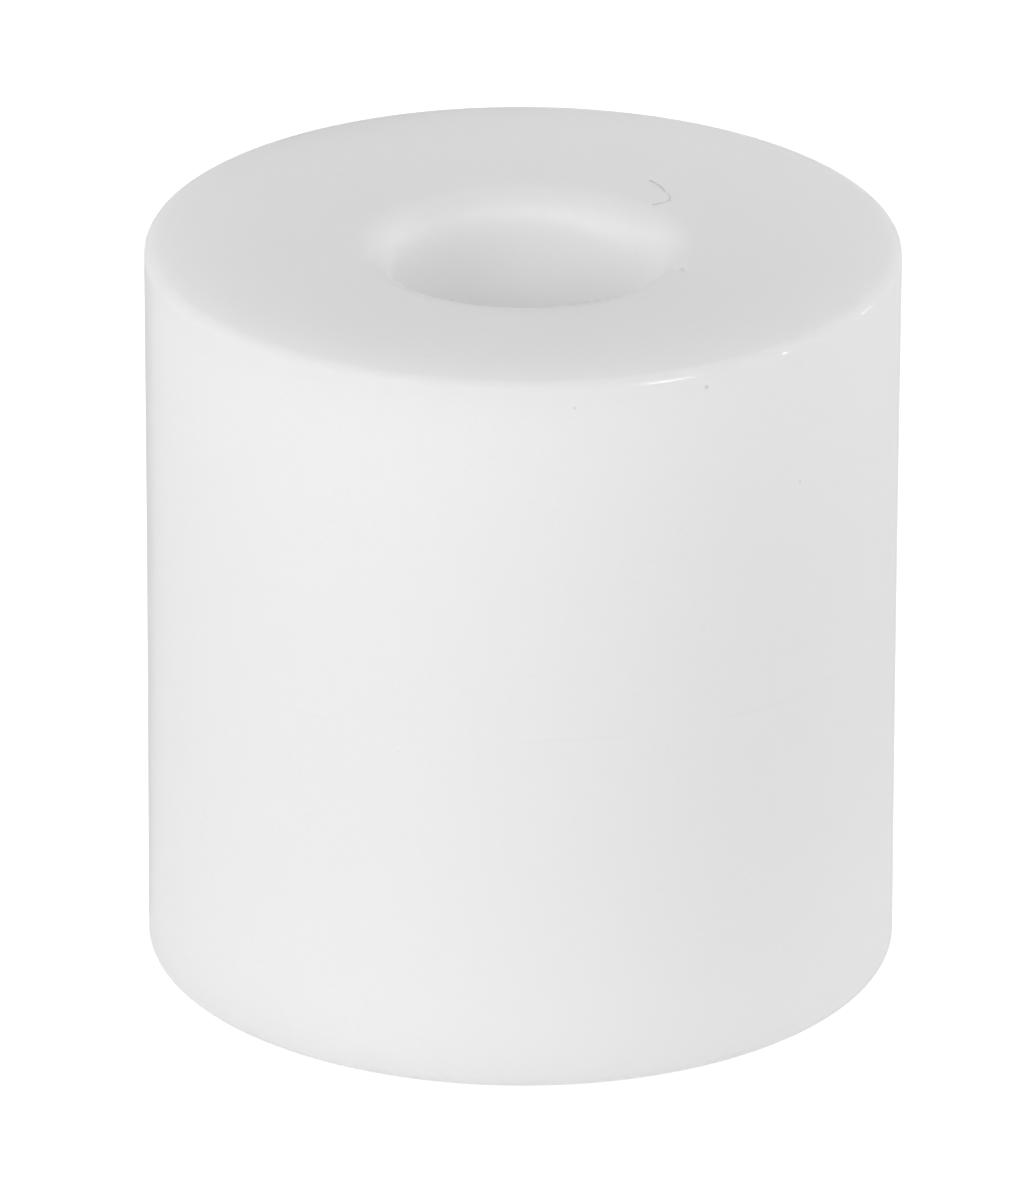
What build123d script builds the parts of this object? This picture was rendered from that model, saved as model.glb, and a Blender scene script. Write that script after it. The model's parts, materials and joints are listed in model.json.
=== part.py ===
from build123d import *
import os

# A plain spacer sleeve that holds a fixture off a wall. A screw runs through the bore into
# the wall plug behind it and clamps the sleeve between the wall and the fixture.
# The sleeve is one moulding in one material, so the model is one closed solid.
# Frame: origin at the middle of the end that rests on the wall, +Z along the bore.

# ---- Driving dimensions, in millimetres ----
outer_diameter = 20.0
length = 20.0              # the distance that the sleeve holds the fixture off the wall
bore_diameter = 7.0        # clears a 6 mm screw
rim_radius = 0.3           # rounding of the outer edge, at both ends
mouth_radius = 1.0         # rounded lead-in of the bore, at both ends

# ---- Worked out from them ----
outer_radius = outer_diameter / 2
bore_radius = bore_diameter / 2
wall_thickness = outer_radius - bore_radius
seat_width = wall_thickness - rim_radius - mouth_radius
straight_bore = length - 2 * mouth_radius


def rims_of(body, radius):
    """The circular edges of one radius: one at each end of the sleeve."""
    return [e for e in body.edges().filter_by(GeomType.CIRCLE) if abs(e.radius - radius) < 1e-6]


def spacer_sleeve():
    """A thick tube whose four end edges are rounded, the outer two less than the bore's two."""
    on_the_wall = (Align.CENTER, Align.CENTER, Align.MIN)
    body = Cylinder(outer_radius, length, align=on_the_wall)
    body -= Cylinder(bore_radius, length, align=on_the_wall)
    body = fillet(rims_of(body, outer_radius), rim_radius)
    return fillet(rims_of(body, bore_radius), mouth_radius)


def main():
    os.makedirs("parts", exist_ok=True)
    sleeve = spacer_sleeve()
    export_step(sleeve, "parts/spacer_sleeve.step")
    print("flat seat at each end:", round(seat_width, 3), "mm wide")
    print("straight wall of the bore:", round(straight_bore, 3), "mm long")
    print("volume of plastic:", round(sleeve.volume), "cubic mm")


main()
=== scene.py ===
# %% [markdown]
# # A moulded spacer sleeve
#
# The object is one short, thick tube of white plastic. A screw goes through it into a wall plug,
# and the tube keeps the thing that is hung a fixed distance off the wall. It has no second piece,
# so everything that makes it look real is in its surface: how round its edges are, the faint line
# where the mould opened, the marks that moulding and handling leave, and the way that light sinks
# a little into the plastic before it comes out again.
#
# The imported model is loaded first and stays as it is. All lengths here are metres, and the frame
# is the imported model's own: the origin is at the middle of the end on the floor, and +Z goes up
# the bore.

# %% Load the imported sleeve
import json
import math
import bmesh
import bpy
import numpy as np
from mathutils import Matrix, Vector, geometry


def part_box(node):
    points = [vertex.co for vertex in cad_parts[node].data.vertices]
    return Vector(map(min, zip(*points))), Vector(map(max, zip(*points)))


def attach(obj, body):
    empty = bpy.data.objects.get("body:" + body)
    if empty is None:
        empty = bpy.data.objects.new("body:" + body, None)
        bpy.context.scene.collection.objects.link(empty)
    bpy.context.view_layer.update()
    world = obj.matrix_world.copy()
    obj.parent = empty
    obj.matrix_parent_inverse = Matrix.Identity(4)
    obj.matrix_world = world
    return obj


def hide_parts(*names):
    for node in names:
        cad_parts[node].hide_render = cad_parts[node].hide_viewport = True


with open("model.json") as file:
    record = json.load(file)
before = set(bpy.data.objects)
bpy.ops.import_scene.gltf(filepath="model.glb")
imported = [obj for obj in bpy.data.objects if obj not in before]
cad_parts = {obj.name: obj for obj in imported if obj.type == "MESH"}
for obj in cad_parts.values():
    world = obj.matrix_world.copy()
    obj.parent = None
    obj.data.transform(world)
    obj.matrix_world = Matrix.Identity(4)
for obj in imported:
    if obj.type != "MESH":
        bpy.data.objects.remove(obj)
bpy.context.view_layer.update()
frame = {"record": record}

MM = 0.001
sleeve_low, sleeve_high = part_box("spacer_sleeve")
outer_radius = (sleeve_high.x - sleeve_low.x) / 2
length = sleeve_high.z - sleeve_low.z
middle = length / 2
bore_radius = frame["record"]["mounts"][0]["dims"]["r_mm"] * MM
print(f"outside {2 * outer_radius / MM:.2f} mm, length {length / MM:.2f} mm, "
      f"bore {2 * bore_radius / MM:.2f} mm")

# %% [markdown]
# ## The camera
#
# A small white object is usually shot from well back with a long lens, which keeps its sides
# nearly parallel. The camera stands about nineteen diameters away and looks down at 23 degrees,
# and it aims a hair to the left of the sleeve and below its middle. A small roll tilts the
# picture by a fifth of a degree.

# %% Place the camera
camera_distance = 382.6 * MM
camera_elevation = math.radians(23.2)
camera_roll = math.radians(0.21)
aim = Vector((-0.155 * MM, 0, middle - 0.30 * MM))

back = Vector((0, -math.cos(camera_elevation), math.sin(camera_elevation)))
camera_data = bpy.data.cameras.new("camera")
camera_data.sensor_width = 36.0
camera_data.lens = 430.8
camera_data.clip_start = 0.01
camera_data.clip_end = 10.0
camera = bpy.data.objects.new("camera", camera_data)
camera.location = Vector((0, 0, middle)) + back * camera_distance
towards = (aim - camera.location).to_track_quat("-Z", "Y").to_matrix()
camera.rotation_euler = (towards @ Matrix.Rotation(camera_roll, 3, "Z")).to_euler()
bpy.context.scene.collection.objects.link(camera)
bpy.context.scene.camera = camera
print(f"camera {camera_distance:.3f} m away, lens {camera_data.lens:.0f} mm")

# %% [markdown]
# ## The section of the sleeve
#
# A moulded tube is the same all the way round, so its shape is drawn once as half a section, a
# line in radius and height, and that line is swept round the axis. The four corners are true arcs.
# The bore's mouths are rounded 1 mm, which leads a screw in, and the outer edges only 0.3 mm,
# which is what a polished mould leaves so that the edge isn't sharp.
#
# A narrow extra ring beside each arc keeps the smooth shading of the arc from leaking into the
# flat face or straight wall next to it.

# %% Radii of the edges
rim_radius = 0.3 * MM
mouth_radius = 1.0 * MM
holding_gap = 0.03 * MM
rim_steps = 12
mouth_steps = 20
print(f"outer edges rounded {rim_radius / MM:.1f} mm, mouths of the bore {mouth_radius / MM:.1f} mm")

# %% Helpers for the section

def arc(centre_r, centre_z, radius, start, end, steps):
    """Points of an arc in the section, as (radius, height), between two angles in degrees."""
    angles = np.radians(np.linspace(start, end, steps + 1))
    return [(centre_r + radius * math.cos(a), centre_z + radius * math.sin(a)) for a in angles]


def smooth_step(x):
    """0 below 0, 1 above 1, and an easy curve between."""
    x = min(max(x, 0.0), 1.0)
    return x * x * (3 - 2 * x)


# %% [markdown]
# The wall of the tube is thick, so its middle is the last place to cool. It shrinks when the skin
# is already hard and pulls the end face down towards the bore. The end that shows is therefore a
# very shallow dish: level at the rim, and about a seventh of a millimetre lower at the mouth.

# %% Dish the upper end
sink = 0.15 * MM
flat_outer = outer_radius - rim_radius
flat_inner = bore_radius + mouth_radius


def end_height(radius):
    """Height of the upper end at a distance from the axis."""
    return length - sink * smooth_step((flat_outer - radius) / (flat_outer - flat_inner))


def on_end_face(x, y):
    """A point of the upper end, in millimetres."""
    return (x, y, end_height(math.hypot(x, y) * MM) / MM)


print(f"upper end {(length - end_height(flat_inner)) / MM:.2f} mm lower at the bore")

# %% [markdown]
# The mould opens at half height, where its two halves meet. The metal never closes quite
# perfectly, so a thread of plastic up to two thousandths of a millimetre high stands proud all the
# way round. The wall gets closely spaced rings there to carry it, and wider ones further off.

# %% Heights of the rings on the outside wall
seam_half_width = 0.05 * MM
gate_half_height = 0.45 * MM
seam_rings = [k * 0.2 * seam_half_width for k in range(-12, 13)]
gate_rings = [side * d * MM for side in (-1, 1) for d in np.arange(0.17, 0.75, 0.05)]
wide_rings = [side * d * MM for side in (-1, 1) for d in np.linspace(1.0, 9.4, 13)]
wall_low, wall_high = rim_radius, length - rim_radius
wall_heights = sorted(
    [middle + d for d in seam_rings + gate_rings + wide_rings]
    + [wall_low + holding_gap, wall_high - holding_gap]
)
print(f"{len(wall_heights)} rings on the outside wall, closest at the seam")

# %% Draw the half section
face_radii = np.linspace(flat_outer - holding_gap, flat_inner + holding_gap, 40)
bore_top = length - sink - mouth_radius - holding_gap
bore_bottom = mouth_radius + holding_gap
section = arc(flat_outer, wall_low, rim_radius, -90, 0, rim_steps)
section += [(outer_radius, z) for z in wall_heights]
section += arc(flat_outer, wall_high, rim_radius, 0, 90, rim_steps)
section += [(r, end_height(r)) for r in face_radii]
section += arc(flat_inner, length - sink - mouth_radius, mouth_radius, 90, 180, mouth_steps)
section += [(bore_radius, z) for z in np.linspace(bore_top, bore_bottom, 16)]
section += arc(flat_inner, mouth_radius, mouth_radius, 180, 270, mouth_steps)
print(f"{len(section)} points in the half section")

# %% [markdown]
# ## Where the real wall leaves the perfect tube
#
# Three things do it, and each is a small function of the place on the wall:
#
# - Thick plastic shrinks as it cools, so the wall draws in by two hundredths at half height.
# - The seam of the mould stands proud, more in some places than in others.
# - The plastic was let in at the seam, on the side away from the camera. The stub was cut off
#   there, and it leaves a low, slightly torn pad.

# %% Shape the outside wall
waist = 0.02 * MM
seam_height = 0.0018 * MM
gate_angle = math.radians(90)
gate_half_width = 1.2 * MM
gate_height = 0.06 * MM
gate_edge = 0.10 * MM


def seam_strength(angle):
    """How far the seam stands out round the sleeve, as a share of its greatest height."""
    wave = 0.30 * math.sin(2 * angle + 0.6) + 0.22 * math.sin(5 * angle - 1.1) + 0.14 * math.sin(11 * angle)
    return min(max(0.45 + wave, 0.1), 1.0)


def gate_pad(angle, z):
    """Height of the cut gate above the wall, with a slightly torn top."""
    along = (angle - gate_angle) * outer_radius
    up = z - middle
    inside = min(gate_half_width - abs(along), gate_half_height - abs(up))
    torn = 0.25 * math.sin(along / (0.17 * MM)) * math.sin(up / (0.13 * MM) + 0.8)
    return gate_height * smooth_step(inside / gate_edge + 0.5) * (1 + torn)


def wall_radius(angle, z):
    """Radius of the outside wall at one place."""
    share = (z - middle) / (middle - rim_radius)
    drawn_in = waist * (1 - share * share)
    seam = seam_height * seam_strength(angle) * math.exp(-(((z - middle) / seam_half_width) ** 2))
    return outer_radius - drawn_in + seam + gate_pad(angle, z)


beside_seam = wall_radius(0, middle + 3 * seam_half_width)
print(f"wall drawn in {(outer_radius - beside_seam) / MM:.3f} mm at half height")

# %% [markdown]
# The segments round the sleeve are nine tenths of a degree apart, so each is a sixth of a
# millimetre wide and its flatness can't be seen. Across the gate they are more than three times as
# close, because the small pad's outline has to read there.

# %% Angles of the segments
coarse, fine = 0.9, 0.25
gate_sector = 9.0
across_gate = np.arange(-gate_sector, gate_sector, fine)
wide_sector = 360 - 2 * gate_sector
elsewhere = gate_sector + np.linspace(0, wide_sector, round(wide_sector / coarse), endpoint=False)
segment_angles = np.radians(np.concatenate([across_gate, elsewhere])) + gate_angle
print(f"{len(segment_angles)} segments round")

# %% [markdown]
# ## A nick at the bore's mouth
#
# A screw or a burr has bruised the rounded mouth in one place. It is a dent about a third of a
# millimetre long, pressed into the mesh itself so that its edge catches the light.

# %% Shape of the nick
nick_place = Vector(on_end_face(4.13, -1.50)) * MM
nick_along = Vector((0.75, -0.66, 0))
nick_half_length = 0.17 * MM
nick_half_width = 0.09 * MM
nick_depth = 0.09 * MM


def nick(point):
    """How deep the nick is pressed in at a point."""
    away = point - nick_place
    along = away.dot(nick_along)
    across = away.x * -nick_along.y + away.y * nick_along.x
    return nick_depth * math.exp(-((along / nick_half_length) ** 2) - (across / nick_half_width) ** 2)


print(f"nick {nick(nick_place) / MM:.2f} mm deep, {nick_place.xy.length / MM:.2f} mm from the axis")

# %% Sweep the section round the axis
def place(radius, z, angle):
    """A point of the swept surface, with the wall's and the mouth's small departures."""
    if radius > outer_radius - 1e-9:
        radius = wall_radius(angle, z)
    point = Vector((radius * math.cos(angle), radius * math.sin(angle), z))
    if z > middle and radius < outer_radius - rim_radius:
        point.z -= nick(point)
    return point


shape = bmesh.new()
rings = [[shape.verts.new(place(r, z, a)) for a in segment_angles] for r, z in section]
for ring, following in zip(rings, rings[1:]):
    for i in range(len(ring)):
        j = (i + 1) % len(ring)
        shape.faces.new((ring[i], ring[j], following[j], following[i]))
print(f"{len(shape.faces)} faces swept")

# %% [markdown]
# ## The end on the wall
#
# The moulding is pushed out of the mould by three round pins, and each pin leaves a shallow
# round print on the end it pushes. That end is flat apart from the prints, so it is filled as a
# flat sheet with round holes in it, and each hole gets a rounded step and a floor of its own.

# %% Places of the ejector pins
pin_radius = 1.0 * MM
pin_circle = (flat_outer + flat_inner) / 2
pin_angles = [math.radians(a) for a in (30, 150, 270)]
pin_depth = 0.04 * MM
pin_corner = 0.02 * MM
pin_segments = 64
pin_centres = [Vector((pin_circle * math.cos(a), pin_circle * math.sin(a))) for a in pin_angles]
print(f"{len(pin_centres)} pins on a circle of {pin_circle / MM:.2f} mm radius")

# %% Fill the end round the prints
outer_loop, inner_loop = rings[0], rings[-1]


def pin_ring(centre, radius, z):
    """One ring of vertices round a pin's print."""
    ring = []
    for k in range(pin_segments):
        turn = 2 * math.pi * k / pin_segments
        x, y = centre.x + radius * math.cos(turn), centre.y + radius * math.sin(turn)
        ring.append(shape.verts.new((x, y, z)))
    return ring


def bridge(lower, upper):
    """Quads between two rings of one print."""
    for i in range(len(lower)):
        j = (i + 1) % len(lower)
        shape.faces.new((lower[i], lower[j], upper[j], upper[i]))


def loop_edges(start, count):
    """Index pairs that close a loop of count points."""
    return [(start + i, start + (i + 1) % count) for i in range(count)]


print_rims = [pin_ring(c, pin_radius, 0) for c in pin_centres]
loops = [outer_loop, inner_loop] + print_rims
flat_verts = [v for loop in loops for v in loop]
edges, start = [], 0
for loop in loops:
    edges += loop_edges(start, len(loop))
    start += len(loop)
filled = geometry.delaunay_2d_cdt([v.co.xy for v in flat_verts], edges, [], 0, 1e-9)
for face in filled[2]:
    corners = [flat_verts[filled[3][i][0]] for i in face]
    centre = sum((v.co for v in corners), Vector()) / len(corners)
    in_print = any((centre.xy - c).length < pin_radius for c in pin_centres)
    in_seat = flat_inner < centre.xy.length < flat_outer
    if in_seat and not in_print:
        shape.faces.new(corners)

print(f"{len(filled[2])} flat pieces tried round {len(print_rims)} prints")

# %% Sink the prints
corner_steps = 4
for centre, rim in zip(pin_centres, print_rims):
    upper = rim
    for k in range(1, corner_steps + 1):
        turn = math.radians(90 * k / corner_steps)
        ring = pin_ring(centre, pin_radius - pin_corner * math.sin(turn), pin_depth * (1 - math.cos(turn)))
        bridge(upper, ring)
        upper = ring
    shape.faces.new(upper)
print(f"prints {pin_depth / MM:.2f} mm deep")

# %% Turn it into an object
bmesh.ops.recalc_face_normals(shape, faces=shape.faces)
sleeve_mesh = bpy.data.meshes.new("moulded_sleeve")
shape.to_mesh(sleeve_mesh)
open_edges = sum(1 for e in shape.edges if len(e.link_faces) != 2)
print(f"{len(shape.verts)} vertices, {len(shape.faces)} faces, {open_edges} open edges, "
      f"{shape.calc_volume() / MM ** 3:.0f} cubic mm")
shape.free()
sleeve_mesh.shade_smooth()
sleeve = bpy.data.objects.new("moulded_sleeve", sleeve_mesh)
bpy.context.scene.collection.objects.link(sleeve)

# %% [markdown]
# ## The plastic
#
# White sleeves are moulded from a tough resin filled with a little white pigment. The skin takes
# the finish of the mould: smooth, but not polished, with a soft gloss. Light goes a few
# millimetres in and is scattered back out, so the edges look soft and the bore stays pale, which
# plain paint would never do.
#
# All the patterns below are worked out from the place on the sleeve in millimetres, so they stay
# on it when it moves and need no unwrapping. Each is one thing that really happens to the part.

# %% Start the material
plastic = bpy.data.materials.new("white_polymer")
plastic.use_nodes = True
nodes, links = plastic.node_tree.nodes, plastic.node_tree.links
surface = nodes["Principled BSDF"]


def add(kind, inputs, **settings):
    """A new node. Its inputs are numbers or the outputs of other nodes."""
    made = nodes.new(kind)
    for name, value in settings.items():
        setattr(made, name, value)
    for name, value in inputs.items():
        if isinstance(value, bpy.types.NodeSocket):
            links.new(value, made.inputs[name])
        else:
            made.inputs[name].default_value = value
    return made


def calc(operation, *values):
    """The output of a Math node that works on two or three values."""
    return add("ShaderNodeMath", dict(enumerate(values)), operation=operation).outputs[0]


def ramp(value, start, end, low=0.0, high=1.0):
    """A value carried smoothly from low at start to high at end."""
    reach = {"Value": value, "From Min": start, "From Max": end, "To Min": low, "To Max": high}
    return add("ShaderNodeMapRange", reach, interpolation_type="SMOOTHSTEP").outputs[0]


# %% Where a point is, in millimetres, and which way it faces
place_node = add("ShaderNodeTexCoord", {})
to_mm = {0: place_node.outputs["Object"], "Scale": 1 / MM}
in_mm = add("ShaderNodeVectorMath", to_mm, operation="SCALE").outputs[0]
x_mm, y_mm, z_mm = add("ShaderNodeSeparateXYZ", {0: in_mm}).outputs
facing = add("ShaderNodeSeparateXYZ", {0: add("ShaderNodeNewGeometry", {}).outputs["True Normal"]})
facing_up = calc("ABSOLUTE", facing.outputs[2])
on_wall = ramp(facing_up, 0.5, 0.1)
on_end = ramp(facing_up, 0.9, 0.995)


def noise(scale, detail=2.0, stretch=(1, 1, 1), turn=0.0):
    """Soft noise from 0 to 1 with scale waves to a millimetre, drawn out and turned about Z."""
    settings = {"Vector": in_mm, "Rotation": (0, 0, turn), "Scale": stretch}
    moved = add("ShaderNodeMapping", settings, vector_type="TEXTURE")
    inputs = {"Vector": moved.outputs[0], "Scale": scale, "Detail": detail}
    return add("ShaderNodeTexNoise", inputs).outputs[0]


print(f"{len(nodes)} nodes place the patterns")


# %% [markdown]
# ### Texture that can be felt
#
# Four heights are added up, all in millimetres, and one Bump node turns the sum into a normal:
#
# - the fine grain of the mould's metal;
# - a slow waviness, because the skin cools unevenly;
# - upright drag lines, where the wall rubbed as the moulding was pushed out;
# - hairlines on the two ends, from lying and sliding on other parts.

# %% Clouds, grain, waviness and drag lines
grain_height, wave_height, drag_height = 0.0008, 0.0025, 0.0006
clouds = noise(0.30, 3)
grain_noise = noise(9, 2)
grain = calc("MULTIPLY", grain_noise, grain_height)
waviness = calc("MULTIPLY", noise(0.5, 0), wave_height)
drag = calc("MULTIPLY", calc("MULTIPLY", noise(5, 1, stretch=(1, 1, 60)), on_wall), drag_height)
heights = [round(h * 1000, 1) for h in (grain_height, wave_height, drag_height)]
print("grain, waves and drag lines in thousandths of a millimetre:", *heights)

# %% Hairlines on the ends
hairline_turns = [math.radians(a) for a in (18, 107)]
hairlines = 0.0
for turn in hairline_turns:
    drawn_out = noise(1.0, 1, stretch=(9.0, 0.06, 1.0), turn=turn)
    hairlines = calc("ADD", hairlines, ramp(drawn_out, 0.68, 0.75))
hairlines = calc("MULTIPLY", hairlines, calc("MULTIPLY", ramp(clouds, 0.42, 0.60), on_end))
print(f"hairlines run in {len(hairline_turns)} directions")

# %% [markdown]
# ### Marks with a place of their own
#
# A curled scuff lies on the upper end beside the bore. It is drawn as four short straight runs:
# the distance from a point to each run is worked out with nodes, and the least of them makes the
# line. The specks are burnt or foreign grains in the plastic. A few sit where they catch the eye,
# and the rest are scattered by a cell pattern. The largest dark spot, at the nick in the bore's
# mouth, is not a grain: it is painted shade in the dent.

# %% Distance from a run of the scuff
def distance_from_run(start, end):
    """Distance in millimetres from the straight run between two points."""
    along = Vector(end) - Vector(start)
    from_start = add("ShaderNodeVectorMath", {0: in_mm, 1: start}, operation="SUBTRACT").outputs[0]
    dot = add("ShaderNodeVectorMath", {0: from_start, 1: along}, operation="DOT_PRODUCT").outputs["Value"]
    share = add("ShaderNodeClamp", {0: calc("DIVIDE", dot, along.length_squared)}).outputs[0]
    nearest = add("ShaderNodeVectorMath", {0: along, "Scale": share}, operation="SCALE").outputs[0]
    return add("ShaderNodeVectorMath", {0: from_start, 1: nearest}, operation="DISTANCE").outputs["Value"]


# %% Draw the scuff
scuff_path = [(3.39, 4.70), (3.65, 4.30), (3.90, 3.62), (3.89, 3.31), (3.45, 3.00)]
scuff_points = [on_end_face(x, y) for x, y in scuff_path]
scuff_width = 0.05
scuff_distance = 10.0
for start, end in zip(scuff_points, scuff_points[1:]):
    scuff_distance = calc("MINIMUM", scuff_distance, distance_from_run(start, end))
rubbing = noise(2.2, 2)
wandering = calc("MULTIPLY_ADD", rubbing, 0.05, -0.02)
scuff = ramp(calc("SUBTRACT", scuff_distance, wandering), scuff_width, 0.0)
scuff = calc("MULTIPLY", scuff, ramp(rubbing, 0.15, 0.45))
scuff_length = sum(math.dist(a, b) for a, b in zip(scuff_points, scuff_points[1:]))
print(f"scuff {scuff_length:.2f} mm long")

# %% Set the specks and the painted shade in the nick
def on_front(x, z):
    """A point of the wall on the camera's side."""
    return (x, -math.sqrt((outer_radius / MM) ** 2 - x * x), z)


speck_and_shade_places = [
    (on_end_face(0.21, -4.63), 0.05, 0.10),
    (on_end_face(-2.43, -7.98), 0.07, 0.15),
    # Painted shade: this dark spot sits in the nick at the bore's mouth and darkens the dent.
    (on_end_face(4.16, -1.48), 0.16, 0.30),
    (on_front(4.75, 19.48), 0.09, 0.45),
    (on_front(1.34, 19.34), 0.06, 0.25),
    (on_front(7.24, 16.04), 0.08, 0.22),
    (on_front(-3.18, 9.45), 0.06, 0.12),
]
specks_and_nick_shade = 0.0
for where, radius, darkness in speck_and_shade_places:
    away = add("ShaderNodeVectorMath", {0: in_mm, 1: where}, operation="DISTANCE").outputs["Value"]
    specks_and_nick_shade = calc("MAXIMUM", specks_and_nick_shade, ramp(away, radius, 0.3 * radius, 0.0, darkness))

cells = add("ShaderNodeTexVoronoi", {"Vector": in_mm, "Scale": 0.42}, feature="F1")
scattered = ramp(cells.outputs["Distance"], 0.030, 0.012, 0.0, 0.08)
specks_and_nick_shade = calc("MAXIMUM", specks_and_nick_shade, scattered)
print(f"{len(speck_and_shade_places)} specks set by hand, the rest scattered")

# %% [markdown]
# ### The seam, the gate and the pin prints
#
# Dust settles against the seam, and its edge is a little duller than the wall. The gate's pad was
# torn, so it is rough and has gone slightly whiter. The pins were polished, so their prints are
# smoother than the skin round them, with faint turning rings.

# %% Find the seam, the gate and the prints
off_seam = calc("ABSOLUTE", calc("SUBTRACT", z_mm, middle / MM))
seam_zone = calc("MULTIPLY", ramp(off_seam, 0.09, 0.02), on_wall)
seam_dust = calc("MULTIPLY", seam_zone, ramp(clouds, 0.45, 0.62))

gate_side = calc("SUBTRACT", gate_half_width / MM, calc("ABSOLUTE", x_mm))
gate_up = calc("SUBTRACT", gate_half_height / MM, off_seam)
on_back = calc("MULTIPLY", calc("GREATER_THAN", y_mm, 0.0), on_wall)
in_gate = calc("MULTIPLY", ramp(calc("MINIMUM", gate_side, gate_up), -0.05, 0.05), on_back)

from_pin = 10.0
for centre in pin_centres:
    spot = (centre.x / MM, centre.y / MM, 0.0)
    away = add("ShaderNodeVectorMath", {0: in_mm, 1: spot}, operation="DISTANCE").outputs["Value"]
    from_pin = calc("MINIMUM", from_pin, away)
in_print = ramp(from_pin, pin_radius / MM, (pin_radius - pin_corner) / MM)
turning_rings, turning_height = 90.0, 0.0004
pin_turning = calc("MULTIPLY", calc("SINE", calc("MULTIPLY", from_pin, turning_rings)), turning_height)
print(f"turning rings {2 * math.pi / turning_rings:.2f} mm apart in each print")

# %% [markdown]
# ### The worn edges
#
# The outer edge is what a sleeve rolls and knocks on in its bag, and screws scrape round the
# bore's mouths, so both are duller than the walls. In three short places the outer edge has been
# dragged along a tool instead. It is burnished there in a thin line, with a trace of bright metal,
# and it catches the light.

# %% Find the worn edges
from_axis = calc("SQRT", calc("MULTIPLY_ADD", x_mm, x_mm, calc("MULTIPLY", y_mm, y_mm)))
near_end = ramp(off_seam, 9.60, 9.74)
on_rim = calc("MULTIPLY", ramp(from_axis, 9.60, 9.74), near_end)
in_mouth = calc("MULTIPLY", ramp(from_axis, 4.55, 4.25), ramp(off_seam, 8.7, 9.4))
print(f"the seat of the end lies from {flat_inner / MM:.1f} to {flat_outer / MM:.1f} mm from the axis")

# %% Burnish three places
turn_angle = calc("ARCTAN2", y_mm, x_mm)
burnished_places = [(-67.5, 8.0), (-47.0, 0.9), (-26.0, 2.6)]
burnished = 0.0
for angle, half_angle in burnished_places:
    away = calc("ABSOLUTE", calc("SUBTRACT", turn_angle, math.radians(angle)))
    outer_end, full = math.radians(half_angle), math.radians(0.4 * half_angle)
    burnished = calc("MAXIMUM", burnished, ramp(away, outer_end, full))
line_slope = math.radians(25)
line_height = (wall_high + rim_radius * math.sin(line_slope)) / MM
off_line = calc("ABSOLUTE", calc("SUBTRACT", z_mm, line_height))
burnished = calc("MULTIPLY", burnished, calc("MULTIPLY", on_rim, ramp(off_line, 0.045, 0.015)))
metal_share = 0.12
links.new(calc("MULTIPLY", burnished, metal_share), surface.inputs["Metallic"])
print(f"{len(burnished_places)} burnished places, {line_height:.2f} mm above the floor")

# %% [markdown]
# ### Colour
#
# The white is neutral and nearly even. Very faint clouds some millimetres across, and a finer
# mottle from the pigment, keep it from looking like paint. Then the marks are laid over it.

# %% Lay the colours
def over(colour, top, amount):
    """The colour with another laid over it, as much as amount says."""
    mixed = add("ShaderNodeMix", {"Factor": amount}, data_type="RGBA")
    for socket, value in ((mixed.inputs[6], colour), (mixed.inputs[7], top)):
        if isinstance(value, bpy.types.NodeSocket):
            links.new(value, socket)
        else:
            socket.default_value = (*value, 1)
    return mixed.outputs[2]


white, cloud_white = (0.975, 0.975, 0.975), (0.960, 0.960, 0.960)
# The speck grey also paints the shade in the nick at the bore's mouth.
scuffed, dusty, speck_and_shade_grey = (0.62, 0.62, 0.62), (0.78, 0.78, 0.78), (0.32, 0.32, 0.32)
torn_white = (0.985, 0.985, 0.985)
layers = [
    (cloud_white, ramp(clouds, 0.35, 0.70)),
    (cloud_white, ramp(grain_noise, 0.40, 0.65)),
    (torn_white, in_gate),
    (dusty, calc("MULTIPLY", seam_dust, 0.12)),
    (scuffed, calc("MULTIPLY", scuff, 0.9)),
    (speck_and_shade_grey, specks_and_nick_shade),
]
colour = white
for tone, amount in layers:
    colour = over(colour, tone, amount)
links.new(colour, surface.inputs["Base Color"])
print(f"{len(layers)} layers of colour over the white")

# %% [markdown]
# ### Gloss
#
# The mould's finish is soft and satin. Each mark changes that by its own amount: the hairlines,
# the seam and the scuff are duller, the torn gate and the outer edge are the dullest, and the
# prints and the burnished places are smoother.

# %% Set the roughness
changes = [
    (hairlines, 0.12),
    (seam_zone, 0.10),
    (in_gate, 0.30),
    (scuff, 0.25),
    (in_print, -0.08),
    (on_rim, 0.40),
    (in_mouth, 0.15),
    (burnished, -0.56),
]
roughness = ramp(clouds, 0.30, 0.70, 0.28, 0.34)
for zone, change in changes:
    roughness = calc("MULTIPLY_ADD", zone, change, roughness)
links.new(roughness, surface.inputs["Roughness"])
print(f"{len(changes)} marks change the gloss")

# %% [markdown]
# The heights are summed last, in millimetres, and the Bump node is told that one unit is one
# millimetre. Marks that go down into the skin have a negative height.

# %% Add up the heights
torn_gate = calc("MULTIPLY", grain_noise, in_gate)
reliefs = [
    (hairlines, -0.0012),
    (scuff, -0.012),
    (specks_and_nick_shade, -0.006),
    (torn_gate, 0.02),
    (pin_turning, in_print),
]
height = calc("ADD", calc("ADD", grain, waviness), drag)
for mark, relief in reliefs:
    height = calc("MULTIPLY_ADD", mark, relief, height)
bump = add("ShaderNodeBump", {"Strength": 1.0, "Distance": MM, "Height": height})
links.new(bump.outputs[0], surface.inputs["Normal"])
print(f"{len(reliefs)} marks added to the grain, the waves and the drag lines")

# %% [markdown]
# ### Light inside the plastic
#
# The plastic is a body that light enters, so its whole colour comes from scattering below the
# skin. The light travels about four millimetres. That softens the shade inside the bore and keeps
# the thin outer edge pale. All three colours travel equally far, because the white has no tint.

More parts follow.
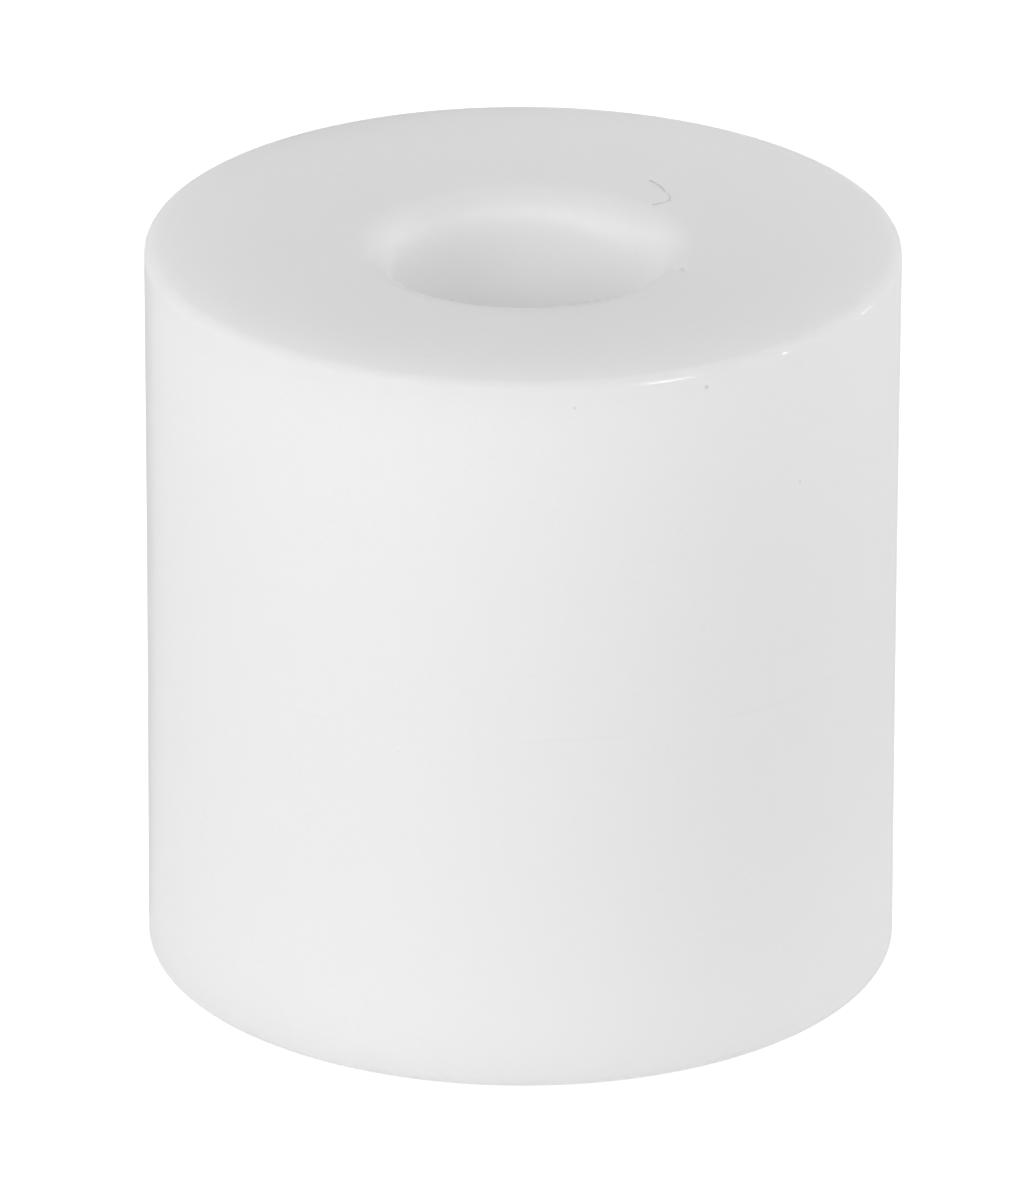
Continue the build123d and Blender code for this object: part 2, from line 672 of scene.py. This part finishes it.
# %% Let light into the plastic
surface.inputs["IOR"].default_value = 1.5
surface.inputs["Subsurface Weight"].default_value = 1.0
surface.inputs["Subsurface Radius"].default_value = (1.0, 1.0, 1.0)
surface.inputs["Subsurface Scale"].default_value = 4.0 * MM
print(f"{len(nodes)} nodes in the plastic")

# %% Put it on the sleeve
sleeve.data.materials.append(plastic)
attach(sleeve, "root")
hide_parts("spacer_sleeve")
print(f"{sleeve.name} rides on the root body and wears {plastic.name}")

# %% [markdown]
# ## The floor
#
# The sleeve stands on white paper that is lit until it has no tone of its own, so that only a
# breath of shadow shows where it stands. What the sleeve itself mirrors is darker than that
# paper, and this keeps its lower edge from glowing. So there are two sheets: a white one that the
# camera sees, and a greyer one just under it that only the light meets. A darker card lies between
# them, behind the sleeve on the left. It is the usual way to draw a thin grey outline on a white
# object in front of white.

# %% Lay the sheets
def sheet(name, corners, drop, base, glow):
    """A flat piece of paper a little below the sleeve, with a plain tone and a glow of its own."""
    mesh = bpy.data.meshes.new(name)
    mesh.from_pydata([(x, y, 0) for x, y in corners], [], [(0, 1, 2, 3)])
    paper = bpy.data.materials.new(name + "_paper")
    paper.use_nodes = True
    matt = paper.node_tree.nodes["Principled BSDF"]
    matt.inputs["Base Color"].default_value = (base, base, base, 1)
    matt.inputs["Roughness"].default_value = 1.0
    matt.inputs["Specular IOR Level"].default_value = 0.0
    matt.inputs["Emission Color"].default_value = (1, 1, 1, 1)
    matt.inputs["Emission Strength"].default_value = glow
    mesh.materials.append(paper)
    made = bpy.data.objects.new(name, mesh)
    made.location.z = -drop
    bpy.context.scene.collection.objects.link(made)
    return made


half = 3.0
whole_floor = [(-half, -half), (half, -half), (half, half), (-half, half)]
behind_left = [(-10.4 * MM, 1 * MM), (-9 * MM, 1 * MM), (-9 * MM, 55 * MM), (-36 * MM, 55 * MM)]
white_floor = sheet("white_floor", whole_floor, 0.02 * MM, base=0.30, glow=0.98)
dark_card = sheet("dark_card", behind_left, 0.04 * MM, base=0.10, glow=0.30)
grey_floor = sheet("grey_floor", whole_floor, 0.06 * MM, base=0.30, glow=0.525)
print(f"sheets {2 * half:.0f} m wide, and a card {behind_left[2][1] / MM:.0f} mm deep")

# %% [markdown]
# Most of the white sheet's tone is a glow, so an even sheet would stay white under the sleeve and
# show as a bright disc at the bottom of the bore. On a table that place is in the sleeve's own
# shade, so that shade is painted into the glow. The sheet glows by its distance from the bore's
# centre: dim under the sleeve as painted shade, nearly white where the wall meets it, and fully
# white further out.

# %% Paint the sleeve's shade on the paper under it
painted_shade_glow, glow_at_edge, glow_further_out = 0.28, 0.98, 0.06
paper = white_floor.active_material.node_tree
off_centre = paper.nodes.new("ShaderNodeVectorMath")
off_centre.operation = "LENGTH"
position = paper.nodes.new("ShaderNodeNewGeometry").outputs["Position"]
paper.links.new(position, off_centre.inputs[0])


def glow_ramp(near, far, low, high):
    """A glow that goes from low to high between two distances from the bore's centre."""
    made = paper.nodes.new("ShaderNodeMapRange")
    for socket, number in (("From Min", near), ("From Max", far), ("To Min", low), ("To Max", high)):
        made.inputs[socket].default_value = number
    paper.links.new(off_centre.outputs["Value"], made.inputs["Value"])
    return made.outputs["Result"]


total_glow = paper.nodes.new("ShaderNodeMath")
# Painted shade: the glow drops to a dim tone under the sleeve, where its own shade falls.
painted_shade_ramp = glow_ramp(outer_radius - 0.6 * MM, outer_radius - 0.1 * MM, painted_shade_glow, glow_at_edge)
further_out = glow_ramp(outer_radius + 2 * MM, outer_radius + 20 * MM, 0.0, glow_further_out)
paper.links.new(painted_shade_ramp, total_glow.inputs[0])
paper.links.new(further_out, total_glow.inputs[1])
paper.links.new(total_glow.outputs[0], paper.nodes["Principled BSDF"].inputs["Emission Strength"])
print(f"the paper glows {painted_shade_glow} under the sleeve and {glow_at_edge + glow_further_out:.2f} further out")

# %% Let each sheet meet only the camera or only the light
for ray in ("diffuse", "glossy", "transmission", "volume_scatter", "shadow"):
    setattr(white_floor, "visible_" + ray, False)
grey_floor.visible_camera = False
dark_card.visible_camera = False
print("white sheet for the camera only, grey sheet and card for the light only")

# %% [markdown]
# ## The lights
#
# A white object is modelled by the differences between its lights, not by their strength. The
# key is a large soft box on the left in front, so the wall is brightest there and falls away to
# the right. A broad bank of soft boxes stands behind and to the right. They graze the upper end
# and light the far wall of the bore, but the near wall of the bore gets little, so the hole reads
# as a hole. Nothing hangs straight overhead, which keeps the upper end a shade darker than the
# wall.
#
# A tall strip behind on the right puts a soft bright band down the right side of the wall. Two
# small tubes add little light of their own: they are there to glint in the burnished edge.
#
# Each light is given as the sleeve sees it: which way it lies, how high, how wide and tall it
# looks in degrees, and how bright its surface is.

# %% Hang the lights
light_distance = 0.7


def soft_light(name, azimuth, elevation, width, height, brightness):
    """A flat light that faces the sleeve. Azimuth 0 is the camera's side, and 90 its right."""
    light = bpy.data.lights.new(name, "AREA")
    light.shape = "RECTANGLE"
    light.size = 2 * light_distance * math.tan(math.radians(width / 2))
    light.size_y = 2 * light_distance * math.tan(math.radians(height / 2))
    light.energy = brightness * math.pi * light.size * light.size_y
    turn, rise = math.radians(azimuth), math.radians(elevation)
    away = Vector((math.sin(turn) * math.cos(rise), -math.cos(turn) * math.cos(rise), math.sin(rise)))
    made = bpy.data.objects.new(name, light)
    made.location = Vector((0, 0, middle)) + away * light_distance
    made.rotation_euler = away.to_track_quat("Z", "Y").to_euler()
    made.visible_camera = False
    bpy.context.scene.collection.objects.link(made)


lights = [
    ("key", -57, 20, 40, 38, 1.8),
    ("left", -98, 24, 34, 22, 1.4),
    ("front", 15, 24, 40, 22, 0.85),
    ("front_high", 0, 48, 90, 26, 2.1),
    ("right", 98, 24, 40, 24, 1.0),
    ("back_right", 140, 24, 44, 24, 1.2),
    ("back", 180, 24, 36, 24, 0.45),
    ("back_left", -140, 24, 44, 22, 1.4),
    ("high_back", 150, 47, 90, 24, 0.3),
    ("strip_back", 121, 17, 21, 32, 1.9),
    ("tube_front", 44, 23, 18, 1.5, 13),
    ("tube_side", 84, 15, 6, 5, 7),
]
for light in lights:
    soft_light(*light)
print(f"{len(lights)} lights hung")

# %% [markdown]
# The room is white where the camera sees it, so that the paper runs on without a horizon, and
# nearly dark to everything else, so that the lights alone shape the sleeve. The picture keeps
# plain colour: the film-like curve would turn the whites grey.

# %% Set the room
room = bpy.data.worlds.new("room")
bpy.context.scene.world = room
room.use_nodes = True
room_nodes, room_links = room.node_tree.nodes, room.node_tree.links
dim = room_nodes["Background"]
dim.inputs["Color"].default_value = (1, 1, 1, 1)
dim.inputs["Strength"].default_value = 0.05
bright = room_nodes.new("ShaderNodeBackground")
bright.inputs["Color"].default_value = (1, 1, 1, 1)
ray_kind = room_nodes.new("ShaderNodeLightPath")
choose = room_nodes.new("ShaderNodeMixShader")
room_links.new(ray_kind.outputs["Is Camera Ray"], choose.inputs[0])
room_links.new(dim.outputs[0], choose.inputs[1])
room_links.new(bright.outputs[0], choose.inputs[2])
room_links.new(choose.outputs[0], room_nodes["World Output"].inputs["Surface"])
bpy.context.scene.view_settings.view_transform = "Standard"
print(f"room {dim.inputs['Strength'].default_value:.2f} bright, except to the camera")
